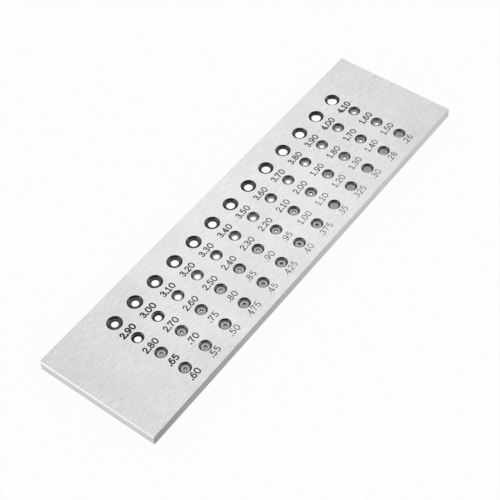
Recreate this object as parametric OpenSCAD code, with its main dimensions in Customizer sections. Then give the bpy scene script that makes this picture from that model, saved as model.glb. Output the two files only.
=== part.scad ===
// Wire draw plate: a ground steel plate that carries fifty-two pressed-in carbide dies.
// Wire is fed into a die at the back of the plate and pulled out at the numbered front.
// X runs along the plate, Y towards the row of coarsest dies, Z out of the front face.
// The origin is on the back face, midway along and across the plate. Sizes are in millimetres.

/* [Plate] */
// Length of the plate
plate_length = 197.8; // [192:0.1:260]
// Width of the plate
plate_width = 55.7; // [52:0.1:80]
// Thickness of the plate
plate_thickness = 4.5; // [4:0.1:8]
// Radius of the four upright corners
corner_radius = 0.5; // [0.5:0.1:5]
// Width of the 45 degree chamfers along the two ends
end_chamfer = 0.4; // [0.1:0.05:1]
// Width of the 45 degree chamfers along the two sides
side_chamfer = 0.15; // [0.1:0.05:1]

/* [Die grid] */
// Number of dies in a row
dies_per_row = 13; // [13]
// Spacing of the dies along a row
pitch_along = 12; // [11:0.1:13]
// Spacing of the rows
pitch_across = 11.5; // [10.5:0.1:13]
// From the near end of the plate to the first die of each row
end_margin = 29.7; // [8:0.1:44]
// From the side of the plate to the row of coarsest dies
side_margin = 11.5; // [8:0.1:15]

/* [Front window] */
// Included angle of the countersink in the front face
countersink_angle = 100; // [60:1:120]
// Width of the countersink, from its rim in to the window
countersink_width = 0.7; // [0.2:0.05:0.8]
// How far the window narrows, on its radius, from the countersink down to the shoulder
window_taper = 0.15; // [0.1:0.05:0.6]
// Length of the window between the countersink and the shoulder
window_length = 0.35; // [0.2:0.05:0.8]
// The same for the row of coarsest dies, which lie nearer to the front
coarse_window_length = 0.1; // [0.1:0.05:0.6]
// Least flat ring that shows inside the window, round the coarsest die's relief
exit_ring = 0.05; // [0.05:0.05:0.2]

/* [Back lead-in] */
// Depth of the 45 degree countersink that leads the wire in from the back face
lead_in = 0.7; // [0.3:0.1:1]

/* [Dies] */
// Height of a die
die_height = 2.5; // [2:0.1:2.8]
// Radial room between a die and its seat, which a press fit closes
seat_clearance = 0.02; // [0:0.005:0.03]
// Chamfer on the outer edges of a die
die_chamfer = 0.2; // [0.1:0.05:0.3]
// Least wall between the entry bell and the outside of a die
die_wall = 0.4; // [0.35:0.05:0.8]
// Width of the entry, from the bore out to the edge of the bell
entry_flare = 1.85; // [1.4:0.05:2]
// Length of the reduction cone between the bell and the bearing land
reduction_length = 0.2; // [0.1:0.05:0.6]
// Included angle of the reduction cone
reduction_angle = 50; // [20:1:70]
// Length of the bearing land that the finest bore would have at no width
land_base = 0.1; // [0.08:0.01:0.3]
// Growth of the bearing land for each millimetre of bore
land_growth = 0.03; // [0:0.01:0.1]
// Depth of the back relief, from the exit face down to the land
relief_depth = 0.25; // [0.15:0.05:0.5]
// Width of the back relief, from the bore out to its edge
relief_flare = 0.3; // [0.2:0.05:0.6]

/* [Hidden] */
$fn = 64;
// How far a cutting shape runs past the face that it opens
overcut = 0.2;

// The marked bores rise from the finest die to the coarsest in four runs: first bore, step, count
bore_runs = [[0.26, 0.02, 2], [0.30, 0.025, 8], [0.50, 0.05, 10], [1.00, 0.10, 32]];
bores = [for (run = bore_runs) for (k = [0 : run[2] - 1]) run[0] + k * run[1]];
last_row = ceil(len(bores) / dies_per_row) - 1;

// The series starts at the far end of the row nearest the -Y side and turns back at the end of each row
function row_of(i) = floor(i / dies_per_row);
function place_in_row(i) = i % dies_per_row;
function column_of(i) = row_of(i) % 2 == 0 ? dies_per_row - 1 - place_in_row(i) : place_in_row(i);
function die_x(i) = end_margin - plate_length / 2 + column_of(i) * pitch_along;
function die_y(i) = plate_width / 2 - side_margin - (last_row - row_of(i)) * pitch_across;

// A die is named after its bore, with two decimals or three: die_2_90, die_0_475
function two_digits(n) = str(n < 10 ? "0" : "", n);
function three_digits(n) = str(n < 100 ? "0" : "", two_digits(n));
function decimals(n) = n % 10 == 0 ? two_digits(n / 10) : three_digits(n);
function die_name(bore) = let (microns = round(bore * 1000), whole = floor(microns / 1000))
    str("die_", whole, "_", decimals(microns - 1000 * whole));

// The coarsest row has larger dies and windows than the other rows, which share one size
function is_coarse(i) = row_of(i) == last_row;
function coarsest_bore(i) = is_coarse(i) ? max(bores) : bores[last_row * dies_per_row - 1];
function window_r(i) = coarsest_bore(i) / 2 + relief_flare + exit_ring;
function window_top_r(i) = window_r(i) + window_taper;
function die_r(i) = coarsest_bore(i) / 2 + entry_flare + die_wall;
function seat_r(i) = die_r(i) + seat_clearance;

// Heights above the back face
countersink_slope = tan(countersink_angle / 2);
window_top_z = plate_thickness - countersink_width / countersink_slope;
function shoulder_z(i) = window_top_z - (is_coarse(i) ? coarse_window_length : window_length);
function die_back_z(i) = shoulder_z(i) - die_height;
function land_top_z(i) = shoulder_z(i) - relief_depth;
function land_length(i) = land_base + land_growth * bores[i];
function land_back_z(i) = land_top_z(i) - land_length(i);
function bell_z(i) = land_back_z(i) - reduction_length;
function bell_r(i) = bores[i] / 2 + reduction_length * tan(reduction_angle / 2);

// A rectangle about the origin with its four corners cut off at 45 degrees
module chamfered_rectangle(width, height, chamfer) {
    x = width / 2;
    y = height / 2;
    polygon([
        [x, y - chamfer], [x - chamfer, y], [chamfer - x, y], [-x, y - chamfer],
        [-x, chamfer - y], [chamfer - x, -y], [x - chamfer, -y], [x, chamfer - y]
    ]);
}

// A rectangle about the origin with four round corners
module rounded_rectangle(width, height, radius) {
    square([width - 2 * radius, height], center = true);
    square([width, height - 2 * radius], center = true);
    for (x = [-1, 1], y = [-1, 1])
        translate([x * (width / 2 - radius), y * (height / 2 - radius)])
            circle(radius);
}

// The plate before drilling, which is what its three chamfered outlines have in common
module blank() {
    translate([0, 0, plate_thickness / 2])
        intersection() {
            linear_extrude(plate_thickness, center = true)
                rounded_rectangle(plate_length, plate_width, corner_radius);
            rotate([90, 0, 0])
                linear_extrude(plate_width, center = true)
                    chamfered_rectangle(plate_length, plate_thickness, end_chamfer);
            rotate([90, 0, 90])
                linear_extrude(plate_length, center = true)
                    chamfered_rectangle(plate_width, plate_thickness, side_chamfer);
        }
}

// The stepped hole for one die: lead-in, seat, shoulder, tapered window and countersink, from the back
module die_hole(i) {
    rotate_extrude()
        polygon([
            [0, -overcut],
            [seat_r(i) + lead_in + overcut, -overcut],
            [seat_r(i), lead_in],
            [seat_r(i), shoulder_z(i)],
            [window_r(i), shoulder_z(i)],
            [window_top_r(i), window_top_z],
            [window_top_r(i) + countersink_width + overcut * countersink_slope, plate_thickness + overcut],
            [0, plate_thickness + overcut]
        ]);
}

module plate() {
    color("gainsboro")
        difference() {
            blank();
            for (i = [0 : len(bores) - 1])
                translate([die_x(i), die_y(i), 0])
                    die_hole(i);
        }
}

// One die: back relief, bearing land, reduction cone and entry bell, from the exit face to the back
module die(i) {
    bore_r = bores[i] / 2;
    color("dimgray")
        translate([die_x(i), die_y(i), 0])
            rotate_extrude()
                polygon([
                    [bore_r + relief_flare, shoulder_z(i)],
                    [die_r(i) - die_chamfer, shoulder_z(i)],
                    [die_r(i), shoulder_z(i) - die_chamfer],
                    [die_r(i), die_back_z(i) + die_chamfer],
                    [die_r(i) - die_chamfer, die_back_z(i)],
                    [bore_r + entry_flare, die_back_z(i)],
                    [bell_r(i), bell_z(i)],
                    [bore_r, land_back_z(i)],
                    [bore_r, land_top_z(i)]
                ]);
}

plate();
for (i = [0 : len(bores) - 1])
    die(i);
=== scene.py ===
import math

import bmesh
import bpy
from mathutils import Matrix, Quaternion, Vector


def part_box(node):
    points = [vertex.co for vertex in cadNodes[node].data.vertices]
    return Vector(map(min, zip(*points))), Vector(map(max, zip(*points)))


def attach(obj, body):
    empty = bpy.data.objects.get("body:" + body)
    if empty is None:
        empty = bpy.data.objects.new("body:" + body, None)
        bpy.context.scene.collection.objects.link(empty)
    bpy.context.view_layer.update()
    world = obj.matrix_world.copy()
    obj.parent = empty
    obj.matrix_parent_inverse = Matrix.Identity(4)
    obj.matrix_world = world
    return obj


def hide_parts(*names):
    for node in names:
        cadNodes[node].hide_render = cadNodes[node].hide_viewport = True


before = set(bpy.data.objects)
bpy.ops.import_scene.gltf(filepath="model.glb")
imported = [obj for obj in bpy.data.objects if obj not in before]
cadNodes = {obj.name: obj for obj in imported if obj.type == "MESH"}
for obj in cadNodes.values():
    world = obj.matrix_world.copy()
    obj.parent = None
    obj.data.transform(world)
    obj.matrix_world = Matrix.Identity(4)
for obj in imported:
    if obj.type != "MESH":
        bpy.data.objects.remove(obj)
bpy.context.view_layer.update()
scene = bpy.context.scene
mm = 0.001

plateLow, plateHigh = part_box("plate")
frontFace = plateHigh.z
dieNames = sorted(name for name in cadNodes if name.startswith("die_"))
print("frame loaded:", len(dieNames), "dies in one plate")


def linear(hexColour):  # sRGB hex to linear RGBA
    channels = [int(hexColour[i:i + 2], 16) / 255 for i in (1, 3, 5)]
    return tuple(c / 12.92 if c <= 0.04045 else ((c + 0.055) / 1.055) ** 2.4 for c in channels) + (1.0,)


# Sockets by number: a Mix has its factor at 0, its numbers at 2 and 3 and its colours at 6 and 7,
# a Map Range has its value at 0, what it comes from at 1 and 2 and what it goes to at 3 and 4
def addNode(tree, kind, inputs=None, **settings):  # a value sets a socket, a socket is linked to it
    node = tree.nodes.new(kind)
    for name, value in settings.items():
        setattr(node, name, value)
    for key, value in (inputs or {}).items():
        if isinstance(value, bpy.types.NodeSocket):
            tree.links.new(value, node.inputs[key])
        else:
            node.inputs[key].default_value = value
    return node


def newMaterial(name):  # returns the material, its tree and its Principled shader
    material = bpy.data.materials.new(name)
    material.use_nodes = True
    return material, material.node_tree, material.node_tree.nodes["Principled BSDF"]


placeDigits = 5  # places in metres that agree to so many decimals are one row or one column


# Where each die sits, what its number says, its row from the coarsest and its column from the near end
def dieSeats():
    seats = []
    for name in dieNames:
        low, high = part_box(name)
        whole, decimals = name.split("_")[1:]
        text = ("" if whole == "0" else whole) + "." + decimals
        centre, radius = (low + high) / 2, (high.x - low.x) / 2
        seats.append({"name": name, "text": text, "centre": centre, "radius": radius})
    rowPlaces = sorted({round(seat["centre"].y, placeDigits) for seat in seats}, reverse=True)
    columnPlaces = sorted({round(seat["centre"].x, placeDigits) for seat in seats})
    for seat in seats:
        seat["row"] = rowPlaces.index(round(seat["centre"].y, placeDigits))
        seat["column"] = columnPlaces.index(round(seat["centre"].x, placeDigits))
    pitch = Vector((columnPlaces[1] - columnPlaces[0], rowPlaces[0] - rowPlaces[1]))
    return seats, pitch


seats, diePitch = dieSeats()

# Surface-ground tool steel: a satin face, nearly white, with fine, short grinding lines along the plate
groundSteel = {
    "colour": "#F2F2F2",
    "lineColour": "#D0D0D1",
    "lineLength": 4.5 * mm,
    "lineWidth": 0.28 * mm,  # the real lines are about 0.05 mm apart, drawn coarse enough to show
    "lineDetail": 5.0,
    "lineHarshness": 0.6,
    "lineLevels": (0.38, 0.62),  # noise levels of a full line and of plain steel
    "cloud": 22 * mm,  # size of the faint lighter and darker patches
    "cloudDetail": 2.0,
    "cloudShare": 0.15,
    "roughness": (0.30, 0.38),
    "roughnessLevels": (0.3, 0.7),  # noise levels that give the two
    "bump": 0.015,
}


def makeGroundSteel(settings):
    material, tree, shader = newMaterial("surfaceGroundToolSteel")
    place = addNode(tree, "ShaderNodeTexCoord").outputs["Object"]
    lineScale = (1 / settings["lineLength"], 1 / settings["lineWidth"], 1 / settings["lineWidth"])
    linePlace = addNode(tree, "ShaderNodeMapping", {"Vector": place, "Scale": lineScale})
    lines = addNode(tree, "ShaderNodeTexNoise", {
        "Vector": linePlace.outputs[0], "Scale": 1.0,
        "Detail": settings["lineDetail"], "Roughness": settings["lineHarshness"]})
    clouds = addNode(tree, "ShaderNodeTexNoise", {
        "Vector": place, "Scale": 1 / settings["cloud"], "Detail": settings["cloudDetail"]})
    both = addNode(tree, "ShaderNodeMix", {
        0: settings["cloudShare"], 2: lines.outputs[0], 3: clouds.outputs[0]})
    full, none = settings["lineLevels"]
    spread = addNode(tree, "ShaderNodeMapRange", {0: both.outputs[0], 1: full, 2: none})
    tint = addNode(tree, "ShaderNodeMix", {
        0: spread.outputs[0], 6: linear(settings["lineColour"]), 7: linear(settings["colour"]),
    }, data_type="RGBA")
    dark, light = settings["roughnessLevels"]
    smooth, rough = settings["roughness"]
    gloss = addNode(tree, "ShaderNodeMapRange", {
        0: lines.outputs[0], 1: dark, 2: light, 3: smooth, 4: rough})
    bump = addNode(tree, "ShaderNodeBump", {
        "Height": lines.outputs[0], "Strength": settings["bump"], "Distance": mm})
    tree.links.new(tint.outputs[2], shader.inputs["Base Color"])
    tree.links.new(gloss.outputs[0], shader.inputs["Roughness"])
    tree.links.new(bump.outputs[0], shader.inputs["Normal"])
    shader.inputs["Metallic"].default_value = 1.0
    return material


# Tool steel edges, with a cutter's lines along them: ground ends and chamfers shine, milled sides are greyer
groundEnd = {
    "name": "groundToolSteelEnd",
    "colour": "#DADADA",
    "lineColour": "#CACACB",
    "lineSize": (25 * mm, 25 * mm, 0.8 * mm),  # the real lines are finer, drawn coarse enough to show
    "lineDetail": 4.0,
    "lineLevels": (0.35, 0.65),
    "roughness": 0.38,
    "bump": 0.0,
}
groundChamfer = {
    **groundEnd,
    "name": "groundToolSteelChamfer",
    "colour": "#FAFAFA",
    "lineColour": "#F0F0F0",
    "roughness": 0.3,
}
milledSide = {
    **groundEnd,
    "name": "milledToolSteelSide",
    "colour": "#D0D0D1",
    "lineColour": "#BBBBBD",
    "lineSize": (25 * mm, 25 * mm, 0.5 * mm),
    "roughness": 0.42,
    "bump": 0.02,
    "paintedShadeReach": 139 * mm,  # how far from the wide blank end a painted shade darkens the steel
    "paintedShadeShare": 0.55,  # share of its colour that is left at the end itself
    "paintedReflectionHeights": (0.1 * mm, 0.7 * mm),  # heights up to which a painted reflection lightens the side, fully and at all
    "wearAndReflectionColour": "#E2E2E2",
}

# Drilled and hardened tool steel: glossy walls with turned rings, dark where the room they mirror is dark
drilledHole = {
    "name": "drilledToolSteel",
    "colour": "#82807E",
    "lineColour": "#565452",
    "lineSize": (8 * mm, 8 * mm, 0.3 * mm),  # the real rings are finer, drawn coarse enough to show
    "lineDetail": 3.0,
    "lineLevels": (0.4, 0.65),
    "roughness": 0.24,
    "bump": 0.05,
}
scaledHole = {  # the larger holes keep more of the hardening scale and are darker all over
    **drilledHole,
    "name": "drilledToolSteelScale",
    "colour": "#62605E",
    "lineColour": "#3A3836",
    "roughness": 0.22,
}


def makeTooledSteel(settings):  # steel with the lines or rings of the tool that cut it
    material, tree, shader = newMaterial(settings["name"])
    place = addNode(tree, "ShaderNodeTexCoord").outputs["Object"]
    lineScale = [1 / size for size in settings["lineSize"]]
    linePlace = addNode(tree, "ShaderNodeMapping", {"Vector": place, "Scale": lineScale})
    lines = addNode(tree, "ShaderNodeTexNoise", {
        "Vector": linePlace.outputs[0], "Scale": 1.0, "Detail": settings["lineDetail"]})
    full, none = settings["lineLevels"]
    spread = addNode(tree, "ShaderNodeMapRange", {0: lines.outputs[0], 1: full, 2: none})
    tint = addNode(tree, "ShaderNodeMix", {
        0: spread.outputs[0], 6: linear(settings["lineColour"]), 7: linear(settings["colour"]),
    }, data_type="RGBA")
    # painted shade: the milled side is darkened towards the wide blank end
    if "paintedShadeReach" in settings:
        spot = addNode(tree, "ShaderNodeSeparateXYZ", {0: place}).outputs
        shade = addNode(tree, "ShaderNodeMapRange", {
            0: spot["X"], 1: plateLow.x, 2: plateLow.x + settings["paintedShadeReach"], 3: settings["paintedShadeShare"]})
        paintedShadeTint = addNode(tree, "ShaderNodeMix", {
            0: 1.0, 6: tint.outputs[2], 7: shade.outputs[0],
        }, data_type="RGBA", blend_type="MULTIPLY")
        # painted reflection: the foot of the side is made lighter, as though it mirrored the white floor
        bright, plain = settings["paintedReflectionHeights"]
        wearAndReflection = addNode(tree, "ShaderNodeMapRange", {0: spot["Z"], 1: plain, 2: bright})
        tint = addNode(tree, "ShaderNodeMix", {
            0: wearAndReflection.outputs[0], 6: paintedShadeTint.outputs[2], 7: linear(settings["wearAndReflectionColour"]),
        }, data_type="RGBA")
    bump = addNode(tree, "ShaderNodeBump", {
        "Height": lines.outputs[0], "Strength": settings["bump"], "Distance": mm})
    tree.links.new(tint.outputs[2], shader.inputs["Base Color"])
    tree.links.new(bump.outputs[0], shader.inputs["Normal"])
    shader.inputs["Roughness"].default_value = settings["roughness"]
    shader.inputs["Metallic"].default_value = 1.0
    return material


# Black oxide left in the engraved numbers: a matt dark line against the bright face
engravedOxide = {
    "colour": "#3E3D3C",
    "wearAndReflectionColour": "#666462",
    "grain": 0.3 * mm,
    "grainDetail": 2.0,
    "wornLevels": (0.5, 0.8),  # noise levels of whole and of worn oxide
    "roughness": 0.6,
}


def makeEngravedOxide(settings):
    material, tree, shader = newMaterial("engravedBlackOxide")
    place = addNode(tree, "ShaderNodeTexCoord").outputs["Object"]
    grain = addNode(tree, "ShaderNodeTexNoise", {
        "Vector": place, "Scale": 1 / settings["grain"], "Detail": settings["grainDetail"]})
    whole, wearAndReflection = settings["wornLevels"]
    spread = addNode(tree, "ShaderNodeMapRange", {0: grain.outputs[0], 1: whole, 2: wearAndReflection})
    tint = addNode(tree, "ShaderNodeMix", {
        0: spread.outputs[0], 6: linear(settings["colour"]), 7: linear(settings["wearAndReflectionColour"]),
    }, data_type="RGBA")
    tree.links.new(tint.outputs[2], shader.inputs["Base Color"])
    shader.inputs["Roughness"].default_value = settings["roughness"]
    return material


# Tungsten carbide: a cool grey metal with fine rings round each bore, dark where left sintered, with painted
# shade in and round the fine bores
sinteredNib = {  # the coarsest nibs are dark all over
    "name": "sinteredTungstenCarbide",
    "colour": "#6A6A6E",
    "ringColour": "#4E4E52",
    "recess": "#3A3A3D",  # colour inside the bore
    "paintedShadeRing": 0.0,
    "roughness": (0.36, 0.46),
}
polishedNib = {  # the middle ones and the very finest are light into the bore
    "name": "polishedTungstenCarbide",
    "colour": "#B8B8BA",
    "ringColour": "#A6A6A8",
    "recess": "#B0B0B2",
    "paintedShadeRing": 0.0,
    "roughness": (0.40, 0.48),
}
lappedNib = {  # the fine ones between have a light face round a relief darkened by painted shade
    "name": "lappedTungstenCarbide",
    "colour": "#B9B9BB",
    "ringColour": "#9E9EA2",
    "recess": "#121214",  # painted shade in these bores
    "paintedShadeRing": 0.8 * mm,  # and this far round the bore
    "roughness": (0.30, 0.40),
}
nibRings = {
    "width": 0.22 * mm,  # the real rings are far finer, drawn coarse enough to show close up
    "detail": 2.0,
    "roughnessLevels": (0.3, 0.7),
    "bump": 0.01,
    "level": 0.99,  # a face whose normal leans more than this is in the bore
    "paintedShadeFade": 0.2 * mm,
    "coarsest": (0.36, 1.45, 2.65),  # bores in mm up to which a nib is polished, lapped, polished
}


def makeCarbide(settings, shared, firstCentre):
    material, tree, shader = newMaterial(settings["name"])
    place = addNode(tree, "ShaderNodeTexCoord").outputs["Object"]
    half = Vector((diePitch.x / 2, diePitch.y / 2, 1.0))  # the wrap centres it on each die, at any height
    shifted = addNode(tree, "ShaderNodeVectorMath", {
        0: place, 1: (firstCentre.x, firstCentre.y, 0.0)}, operation="SUBTRACT")
    local = addNode(tree, "ShaderNodeVectorMath", {
        0: shifted.outputs[0], 1: half, 2: -half}, operation="WRAP")
    flat = addNode(tree, "ShaderNodeVectorMath", {
        0: local.outputs[0], 1: (1.0, 1.0, 0.0)}, operation="MULTIPLY")
    radius = addNode(tree, "ShaderNodeVectorMath", {0: flat.outputs[0]}, operation="LENGTH").outputs["Value"]
    turns = addNode(tree, "ShaderNodeMath", {0: radius, 1: shared["width"]}, operation="DIVIDE")
    rings = addNode(tree, "ShaderNodeTexNoise", {
        "W": turns.outputs[0], "Scale": 1.0, "Detail": shared["detail"]}, noise_dimensions="1D")
    facing = addNode(tree, "ShaderNodeNewGeometry").outputs["Normal"]
    upright = addNode(tree, "ShaderNodeSeparateXYZ", {0: facing}).outputs["Z"]
    lean = addNode(tree, "ShaderNodeMath", {0: upright}, operation="ABSOLUTE")
    ends = addNode(tree, "ShaderNodeMath", {
        0: lean.outputs[0], 1: shared["level"]}, operation="GREATER_THAN")
    faceShown = ends.outputs[0]
    shader.inputs["Metallic"].default_value = 1.0
    if settings["paintedShadeRing"]:  # painted shade: it lies on the face too and is made no metal, to look darker
        edge = settings["paintedShadeRing"]
        outsideShadeRing = addNode(tree, "ShaderNodeMapRange", {0: radius, 1: edge - shared["paintedShadeFade"], 2: edge})
        faceOutsideRing = addNode(tree, "ShaderNodeMath", {0: faceShown, 1: outsideShadeRing.outputs[0]}, operation="MINIMUM")
        faceShown = faceOutsideRing.outputs[0]
        tree.links.new(faceShown, shader.inputs["Metallic"])
    face = addNode(tree, "ShaderNodeMix", {
        0: rings.outputs[0], 6: linear(settings["ringColour"]), 7: linear(settings["colour"]),
    }, data_type="RGBA")
    tint = addNode(tree, "ShaderNodeMix", {
        0: faceShown, 6: linear(settings["recess"]), 7: face.outputs[2],
    }, data_type="RGBA")
    dark, light = shared["roughnessLevels"]
    smooth, rough = settings["roughness"]
    gloss = addNode(tree, "ShaderNodeMapRange", {
        0: rings.outputs[0], 1: dark, 2: light, 3: smooth, 4: rough})
    bump = addNode(tree, "ShaderNodeBump", {
        "Height": rings.outputs[0], "Strength": shared["bump"], "Distance": mm})
    tree.links.new(tint.outputs[2], shader.inputs["Base Color"])
    tree.links.new(gloss.outputs[0], shader.inputs["Roughness"])
    tree.links.new(bump.outputs[0], shader.inputs["Normal"])
    return material


steelFace = makeGroundSteel(groundSteel)
steelEnd = makeTooledSteel(groundEnd)
steelSide = makeTooledSteel(milledSide)
steelChamfer = makeTooledSteel(groundChamfer)
holeWall = makeTooledSteel(drilledHole)
coarseWall = makeTooledSteel(scaledHole)
numberInk = makeEngravedOxide(engravedOxide)
sinteredFinish = makeCarbide(sinteredNib, nibRings, seats[0]["centre"])
polishedFinish = makeCarbide(polishedNib, nibRings, seats[0]["centre"])
lappedFinish = makeCarbide(lappedNib, nibRings, seats[0]["centre"])
print("materials made:", len(bpy.data.materials))

# Pen paths of the numerals, one unit high: "line" runs straight, "bend" smoothly, "ring" closes on itself
numeralPaths = {
    "0": [("ring", [(0, 0.5), (0.33, 1), (0.66, 0.5), (0.33, 0)])],
    "1": [("line", [(0.04, 0.78), (0.27, 1)]), ("line", [(0.27, 1), (0.27, 0)]),
          ("line", [(0.04, 0), (0.50, 0)])],
    "2": [("bend", [(0.03, 0.74), (0.29, 1), (0.56, 0.73), (0.33, 0.36), (0.01, 0)]),
          ("line", [(0.01, 0), (0.58, 0)])],
    "3": [("bend", [(0.04, 0.84), (0.28, 1), (0.53, 0.76), (0.26, 0.54)]),
          ("bend", [(0.26, 0.54), (0.57, 0.27), (0.28, 0), (0.01, 0.16)])],
    "4": [("line", [(0.45, 1), (0, 0.28)]), ("line", [(0, 0.28), (0.62, 0.28)]),
          ("line", [(0.45, 1), (0.45, 0)]), ("line", [(0.27, 0), (0.62, 0)])],
    "5": [("line", [(0.54, 1), (0.09, 1)]), ("line", [(0.09, 1), (0.06, 0.55)]),
          ("bend", [(0.06, 0.55), (0.30, 0.63), (0.58, 0.31), (0.28, 0), (0.02, 0.14)])],
    "6": [("ring", [(0.01, 0.31), (0.31, 0.62), (0.61, 0.31), (0.31, 0)]),
          ("bend", [(0.56, 0.92), (0.36, 1), (0.09, 0.70), (0.01, 0.31)])],
    "7": [("line", [(0.02, 1), (0.58, 1)]), ("bend", [(0.58, 1), (0.33, 0.5), (0.22, 0)]),
          ("line", [(0.02, 1), (0.02, 0.78)])],
    "8": [("ring", [(0.05, 0.77), (0.30, 1), (0.55, 0.77), (0.30, 0.54)]),
          ("ring", [(0.01, 0.27), (0.30, 0.54), (0.59, 0.27), (0.30, 0)])],
    "9": [("ring", [(0.01, 0.69), (0.31, 1), (0.61, 0.69), (0.31, 0.38)]),
          ("bend", [(0.61, 0.69), (0.53, 0.30), (0.26, 0), (0.06, 0.08)])],
    ".": [("dot", [(0, 0.04)])],
}
numberMarks = {
    "height": 2.55 * mm,  # between the middles of the top and bottom strokes
    "gap": 0.75 * mm,  # between the middles of neighbouring strokes
    "rowDrop": (6.58 * mm, 6.35 * mm, 5.71 * mm, 4.56 * mm),  # from a die's centre down to its number
    "rowWeight": (1.28, 1.11, 0.90, 0.77),  # the coarser rows are cut deeper
    "middleWeight": 0.80,  # and every row is cut deeper at its ends
    "nearWeight": (0.43, 0.40, 0.80, 0.82),  # by this at the near end of each row
    "nearFade": (2.6, 2.6, 1.6, 1.6),  # which fades over so many dies
    "farWeight": 0.27,  # and by this at the far end
    "farRise": 6,  # where a higher power sets in later
    "pitchShare": 0.9945,  # the numbers stand a little closer together than the dies
    "toolRadius": 0.22 * mm,
    "toolSides": 12,
    "ballRings": 6,
    "bendSteps": 5,
    "dotScale": 1.5,  # a decimal point against the strokes
}


def cutWeight(seat, settings):  # how wide the tool is for this number, against its own radius
    row, column = seat["row"], seat["column"]
    along = column / max(other["column"] for other in seats)
    near = settings["nearWeight"][row] * math.exp(-column / settings["nearFade"][row])
    far = settings["farWeight"] * along ** settings["farRise"]
    return settings["rowWeight"][row] * (settings["middleWeight"] + near + far)


def numberStrokes(seat, settings):  # each stroke's turn in its numeral, kind, points on the plate and weight
    height = settings["height"]
    widths = [height * max(x for kind, points in numeralPaths[c] for x, y in points) for c in seat["text"]]
    length = sum(widths) + settings["gap"] * (len(widths) - 1)
    firstX = min(other["centre"].x for other in seats)
    left = firstX + (seat["centre"].x - firstX) * settings["pitchShare"] - length / 2
    foot = seat["centre"].y - settings["rowDrop"][seat["row"]] - height / 2
    strokes = []
    for c, width in zip(seat["text"], widths):
        for turn, (kind, points) in enumerate(numeralPaths[c]):
            placed = [Vector((left + x * height, foot + y * height, frontFace)) for x, y in points]
            weight = cutWeight(seat, settings) * (settings["dotScale"] if kind == "dot" else 1)
            strokes.append({"turn": turn, "kind": kind, "points": placed, "weight": weight})
        left += width + settings["gap"]
    return strokes


def strokeCurve(strokes, settings):  # pen paths as one curve object
    curve = bpy.data.curves.new("numberPaths", "CURVE")
    curve.dimensions = "3D"
    curve.resolution_u = settings["bendSteps"]
    for stroke in strokes:
        spline = curve.splines.new("BEZIER")
        spline.bezier_points.add(len(stroke["points"]) - 1)
        for knot, point in zip(spline.bezier_points, stroke["points"]):
            knot.co = point
            knot.radius = stroke["weight"]
            knot.handle_left_type = knot.handle_right_type = "VECTOR" if stroke["kind"] == "line" else "AUTO"
        spline.use_cyclic_u = stroke["kind"] == "ring"
    return bpy.data.objects.new("numberPaths", curve)


def addSocket(tree, name, kind, direction="INPUT"):
    return tree.interface.new_socket(name, in_out=direction, socket_type="NodeSocket" + kind)


def engravingTool():  # a round-nosed tool: swept along every path, or set down as a ball at the open ends
    tree = bpy.data.node_groups.new("engravingTool", "GeometryNodeTree")
    addSocket(tree, "Geometry", "Geometry")
    inputs = {"Tool Radius": "Float", "Tool Sides": "Int", "Ball Rings": "Int",
              "Ends Only": "Bool", "Material": "Material"}
    sockets = {name: addSocket(tree, name, kind).identifier for name, kind in inputs.items()}
    addSocket(tree, "Geometry", "Geometry", "OUTPUT")
    start = addNode(tree, "NodeGroupInput").outputs
    weight = addNode(tree, "GeometryNodeInputRadius").outputs[0]
    profile = addNode(tree, "GeometryNodeCurvePrimitiveCircle", {
        "Resolution": start["Tool Sides"], "Radius": start["Tool Radius"]})
    swept = addNode(tree, "GeometryNodeCurveToMesh", {
        "Curve": start["Geometry"], "Profile Curve": profile.outputs["Curve"],
        "Scale": weight, "Fill Caps": True})
    ends = addNode(tree, "GeometryNodeCurveEndpointSelection")
    closed = addNode(tree, "GeometryNodeInputSplineCyclic")
    openEnds = addNode(tree, "FunctionNodeBooleanMath", {
        0: ends.outputs[0], 1: closed.outputs[0]}, operation="NIMPLY")
    ball = addNode(tree, "GeometryNodeMeshUVSphere", {
        "Segments": start["Tool Sides"], "Rings": start["Ball Rings"], "Radius": start["Tool Radius"]})
    balls = addNode(tree, "GeometryNodeInstanceOnPoints", {
        "Points": start["Geometry"], "Selection": openEnds.outputs[0],
        "Instance": ball.outputs["Mesh"], "Scale": weight})
    chosen = addNode(tree, "GeometryNodeSwitch", {
        "Switch": start["Ends Only"], "False": swept.outputs[0], "True": balls.outputs[0],
    }, input_type="GEOMETRY")
    whole = addNode(tree, "GeometryNodeRealizeInstances", {"Geometry": chosen.outputs[0]})
    painted = addNode(tree, "GeometryNodeSetMaterial", {
        "Geometry": whole.outputs[0], "Material": start["Material"]})
    addNode(tree, "NodeGroupOutput", {"Geometry": painted.outputs[0]})
    return tree, sockets


def plainMesh(thing):  # what an object's modifiers make of it, as a mesh of its own
    graph = bpy.context.evaluated_depsgraph_get()
    return bpy.data.meshes.new_from_object(thing.evaluated_get(graph), depsgraph=graph)


# The plate: ground front, back, ends and front end chamfers, milled sides, lower edges greyed as painted
# shade, drilled holes
plateFinish = {
    "materials": {
        "face": steelFace,
        "end": steelEnd,
        "side": steelSide,
        "hole": holeWall,
        "coarseHole": coarseWall,
        "number": numberInk,
        "chamfer": steelChamfer,
    },
    "mergeReach": 0.001 * mm,  # loose corners of the CAD mesh that are closer than this are one
    "holeReach": 0.75 * mm,  # how far past a die's own radius its hole reaches at the back
    "level": 0.99,  # a face whose normal leans more than this is a wall, a chamfer or a countersink
    "side": 0.5,  # a face whose normal turns more than this to a side is milled, one turned this far to the back gets the same greyer finish as painted shade
    "skin": 0.01 * mm,  # a level face no deeper than this is the front or the back
    "sharpAngle": 35,
}


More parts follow.
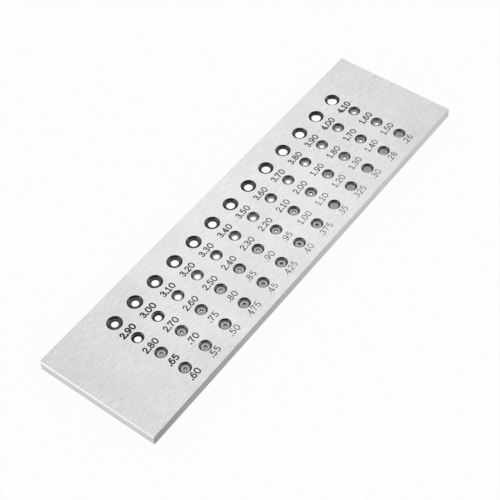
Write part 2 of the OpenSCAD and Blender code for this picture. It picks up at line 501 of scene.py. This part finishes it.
def surfaceOf(face, settings):  # which of the plate's finishes a face has
    middle = face.calc_center_median()
    nearest = min(seats, key=lambda seat: (middle.xy - seat["centre"].xy).length)
    inHole = (middle.xy - nearest["centre"].xy).length < nearest["radius"] + settings["holeReach"]
    flat = abs(face.normal.z) > settings["level"]
    if flat and (middle.z > frontFace - settings["skin"] or middle.z < settings["skin"]):
        return "face"
    if flat or inHole:
        return "coarseHole" if nearest["row"] == 0 else "hole"
    # painted shade: lower chamfers take the greyer side finish, as if in the floor's contact shadow
    if abs(face.normal.y) > settings["side"] or face.normal.z < -settings["side"]:
        return "side"
    return "chamfer" if face.normal.z > settings["side"] else "end"


def plainPlate(settings):
    mesh = cadNodes["plate"].data.copy()
    mesh.name = "numberedPlate"
    mesh.attributes.remove(mesh.attributes["custom_normal"])  # the cuts need normals of their own
    mesh.materials.clear()
    for material in settings["materials"].values():
        mesh.materials.append(material)
    surfaces = list(settings["materials"])
    shape = bmesh.new()
    shape.from_mesh(mesh)
    bmesh.ops.remove_doubles(shape, verts=shape.verts, dist=settings["mergeReach"])
    for face in shape.faces:
        face.material_index = surfaces.index(surfaceOf(face, settings))
    shape.to_mesh(mesh)
    shape.free()
    piece = bpy.data.objects.new("numberedPlate", mesh)
    scene.collection.objects.link(piece)
    return piece


def makeCutter(strokes, endsOnly, tree, sockets, settings):  # the tool's own shape along some strokes
    paths = strokeCurve(strokes, settings)
    scene.collection.objects.link(paths)
    tool = paths.modifiers.new("engravingTool", "NODES")
    tool.node_group = tree
    tool[sockets["Tool Radius"]] = settings["toolRadius"]
    tool[sockets["Tool Sides"]] = settings["toolSides"]
    tool[sockets["Ball Rings"]] = settings["ballRings"]
    tool[sockets["Ends Only"]] = endsOnly
    tool[sockets["Material"]] = numberInk
    cutter = bpy.data.objects.new("cutter", plainMesh(paths))
    scene.collection.objects.link(cutter)
    bpy.data.objects.remove(paths)
    return cutter


def engrave(piece, settings):  # strokes that meet in a numeral are cut in turn, so no cutter crosses itself
    tree, sockets = engravingTool()
    strokes = [stroke for seat in seats for stroke in numberStrokes(seat, settings)]
    for turn in range(max(stroke["turn"] for stroke in strokes) + 1):
        for endsOnly in (False, True):
            cut = [s for s in strokes if s["turn"] == turn and (endsOnly or s["kind"] != "dot")]
            cutter = makeCutter(cut, endsOnly, tree, sockets, settings)
            knife = piece.modifiers.new("numbers", "BOOLEAN")
            knife.object = cutter
            knife.operation = "DIFFERENCE"
            knife.solver = "MANIFOLD"
            mesh = plainMesh(piece)
            piece.modifiers.remove(knife)
            piece.data = mesh
            bpy.data.objects.remove(cutter)
    return len(strokes)


plate = plainPlate(plateFinish)
strokeCount = engrave(plate, numberMarks)
plate.data.shade_smooth()
plate.data.set_sharp_from_angle(angle=math.radians(plateFinish["sharpAngle"]))
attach(plate, "root")
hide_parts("plate")
print("plate engraved:", strokeCount, "strokes,", len(plate.data.polygons), "faces")


def nibFinish(bore, settings):  # by the bore in mm
    finest, fine, middle = settings["coarsest"]
    if bore > middle:
        return sinteredFinish
    return lappedFinish if finest < bore < fine else polishedFinish


for seat in seats:
    dieMesh = cadNodes[seat["name"]].data
    dieMesh.materials.clear()
    dieMesh.materials.append(nibFinish(float(seat["text"]), nibRings))
print("dies finished:", len(dieNames))

# A pale floor that the camera and reflections see as nearly white, with the plate's own soft shadow on it
floorLook = {
    "reach": 8.0,  # metres from the plate to the floor's edge
    "colour": "#F4F4F4",
    "roughness": 0.9,
    "glow": 0.95,  # share of the white that is the floor's own, the rest is lit and shadowed
    "drop": 0.02 * mm,  # under the plate, so that the two faces don't meet
    "shade": 0.4 * mm,  # how far in from each end the floor keeps all its shadow
}


def makeFloorPaper(settings):  # matt paper: white where the bores look down on it, and clear from underneath
    material, tree, shader = newMaterial("studioFloorPaper")
    shader.inputs["Base Color"].default_value = linear(settings["colour"])
    shader.inputs["Roughness"].default_value = settings["roughness"]
    shader.inputs["Specular IOR Level"].default_value = 0.0
    rays = addNode(tree, "ShaderNodeLightPath").outputs
    seen = addNode(tree, "ShaderNodeMath", {
        0: rays["Is Camera Ray"], 1: rays["Is Glossy Ray"]}, operation="MAXIMUM")
    shown = addNode(tree, "ShaderNodeMath", {
        0: seen.outputs[0], 1: rays["Is Transmission Ray"]}, operation="MAXIMUM")
    place = addNode(tree, "ShaderNodeTexCoord").outputs["Object"]
    spot = addNode(tree, "ShaderNodeVectorMath", {0: place}, operation="ABSOLUTE")
    axes = addNode(tree, "ShaderNodeSeparateXYZ", {0: spot.outputs[0]}).outputs
    along = addNode(tree, "ShaderNodeMath", {0: axes["X"], 1: plateHigh.x}, operation="LESS_THAN")
    across = addNode(tree, "ShaderNodeMath", {0: axes["Y"], 1: plateHigh.y}, operation="LESS_THAN")
    under = addNode(tree, "ShaderNodeMath", {
        0: along.outputs[0], 1: across.outputs[0]}, operation="MULTIPLY")
    lit = addNode(tree, "ShaderNodeMath", {0: under.outputs[0], 1: settings["glow"]}, operation="MAXIMUM")
    inner = addNode(tree, "ShaderNodeMath", {
        0: axes["X"], 1: plateHigh.x - settings["shade"]}, operation="LESS_THAN")
    shade = addNode(tree, "ShaderNodeMath", {
        0: under.outputs[0], 1: inner.outputs[0]}, operation="GREATER_THAN")
    bright = addNode(tree, "ShaderNodeMath", {
        0: lit.outputs[0], 1: shade.outputs[0]}, operation="SUBTRACT", use_clamp=True)
    share = addNode(tree, "ShaderNodeMath", {
        0: shown.outputs[0], 1: bright.outputs[0]}, operation="MULTIPLY")
    white = addNode(tree, "ShaderNodeEmission", {"Color": linear("#FFFFFF"), "Strength": 1.0})
    top = addNode(tree, "ShaderNodeMixShader", {
        0: share.outputs[0], 1: shader.outputs[0], 2: white.outputs[0]})
    below = addNode(tree, "ShaderNodeNewGeometry").outputs["Backfacing"]
    clear = addNode(tree, "ShaderNodeBsdfTransparent")
    both = addNode(tree, "ShaderNodeMixShader", {0: below, 1: top.outputs[0], 2: clear.outputs[0]})
    tree.links.new(both.outputs[0], tree.nodes["Material Output"].inputs["Surface"])
    return material


def makeFloor(settings):
    reach, height = settings["reach"], -settings["drop"]
    corners = [(x * reach, y * reach, height) for x, y in ((-1, -1), (1, -1), (1, 1), (-1, 1))]
    mesh = bpy.data.meshes.new("studioFloor")
    mesh.from_pydata(corners, [], [(0, 1, 2, 3)])
    mesh.materials.append(makeFloorPaper(settings))
    floor = bpy.data.objects.new("studioFloor", mesh)
    scene.collection.objects.link(floor)


makeFloor(floorLook)

# Soft studio light: a pale room, brightest beyond the plate, with a window and a weak lamp at each side
studioLight = {
    "brightest": Vector((0.47, 0.41, 0.78)),  # direction of the brightest sky
    "sky": ((0.0, "#545455"), (0.35, "#767677"), (0.97, "#ACACAC"), (1.0, "#FFFFFF")),  # cosine from there
    "horizon": ((0.0, "#C4C4C4"), (0.35, "#BCBCBC"), (0.6, "#000000")),  # height, where this is the lighter
    "window": ((0.88, "#000000"), (0.95, "#D8D8D8")),  # cosine from a window's middle
    "skyStrength": 1.65,
    "windows": {  # direction of each, by the lamp that stands in it
        "leftLamp": Vector((-0.64, 0.59, 0.47)),
        "rightLamp": Vector((0.64, -0.61, 0.46)),
    },
    "lampSize": 0.9,
    "lampPower": 0.3,
    "lampDistance": 0.9,
}


def makeSky(settings):
    world = bpy.data.worlds.new("studioSky")
    world.use_nodes = True
    scene.world = world
    tree = world.node_tree
    direction = addNode(tree, "ShaderNodeTexCoord").outputs["Generated"]
    axes = addNode(tree, "ShaderNodeSeparateXYZ", {0: direction}).outputs
    height = addNode(tree, "ShaderNodeMath", {0: axes["Z"]}, operation="ABSOLUTE")  # the same sky from below
    mirrored = addNode(tree, "ShaderNodeCombineXYZ", {
        "X": axes["X"], "Y": axes["Y"], "Z": height.outputs[0]})
    layers = [(height.outputs[0], settings["horizon"])]
    spots = [(settings["brightest"], settings["sky"])]
    spots += [(window, settings["window"]) for window in settings["windows"].values()]
    for middle, colours in spots:
        nearness = addNode(tree, "ShaderNodeVectorMath", {
            0: mirrored.outputs[0], 1: middle.normalized()}, operation="DOT_PRODUCT")
        layers.append((nearness.outputs["Value"], colours))
    ramps = []
    for place, colours in layers:
        ramp = addNode(tree, "ShaderNodeValToRGB", {0: place})
        stops = ramp.color_ramp.elements
        while len(stops) < len(colours):
            stops.new(0.5)  # moved to its place below
        for stop, (position, colour) in zip(stops, colours):
            stop.position = position
            stop.color = linear(colour)
        ramps.append(ramp.outputs[0])
    lightest = ramps[0]
    for ramp in ramps[1:]:
        mix = addNode(tree, "ShaderNodeMix", {
            0: 1.0, 6: lightest, 7: ramp,
        }, data_type="RGBA", blend_type="LIGHTEN")
        lightest = mix.outputs[2]
    background = tree.nodes["Background"]
    tree.links.new(lightest, background.inputs["Color"])
    background.inputs["Strength"].default_value = settings["skyStrength"]


def makeLamp(name, direction, settings):
    lamp = bpy.data.lights.new(name, "AREA")
    lamp.shape = "DISK"
    lamp.size = settings["lampSize"]
    lamp.energy = settings["lampPower"]
    lampObject = bpy.data.objects.new(name, lamp)
    lampObject.location = direction * settings["lampDistance"]
    lampObject.rotation_mode = "QUATERNION"
    lampObject.rotation_quaternion = (-direction).to_track_quat("-Z", "Y")
    scene.collection.objects.link(lampObject)


makeSky(studioLight)
for name, direction in studioLight["windows"].items():
    makeLamp(name, direction.normalized(), studioLight)

# The photograph's view: from the near left corner, looking down, with the camera a little turned
photoView = {
    "stand": Vector((-249.2, -206.85, 400.2)) * mm,
    "lookAt": Vector((-11.5, -4.45, 4.5)) * mm,
    "turn": -4.12,  # degrees about the line of sight
    "lens": 92.07,  # millimetres, as the sensor
    "sensor": 36.0,
    "clip": (0.01, 50.0),  # metres
}


def makeCamera(settings):
    camera = bpy.data.cameras.new("photoCamera")
    camera.lens = settings["lens"]
    camera.sensor_width = settings["sensor"]
    camera.clip_start, camera.clip_end = settings["clip"]
    cameraObject = bpy.data.objects.new("photoCamera", camera)
    sight = settings["lookAt"] - settings["stand"]
    cameraObject.location = settings["stand"]
    cameraObject.rotation_mode = "QUATERNION"
    cameraObject.rotation_quaternion = (
        sight.to_track_quat("-Z", "Y") @ Quaternion((0, 0, 1), math.radians(settings["turn"])))
    scene.collection.objects.link(cameraObject)
    scene.camera = cameraObject


makeCamera(photoView)
scene.view_settings.view_transform = "Standard"
print("floor, light and camera set")
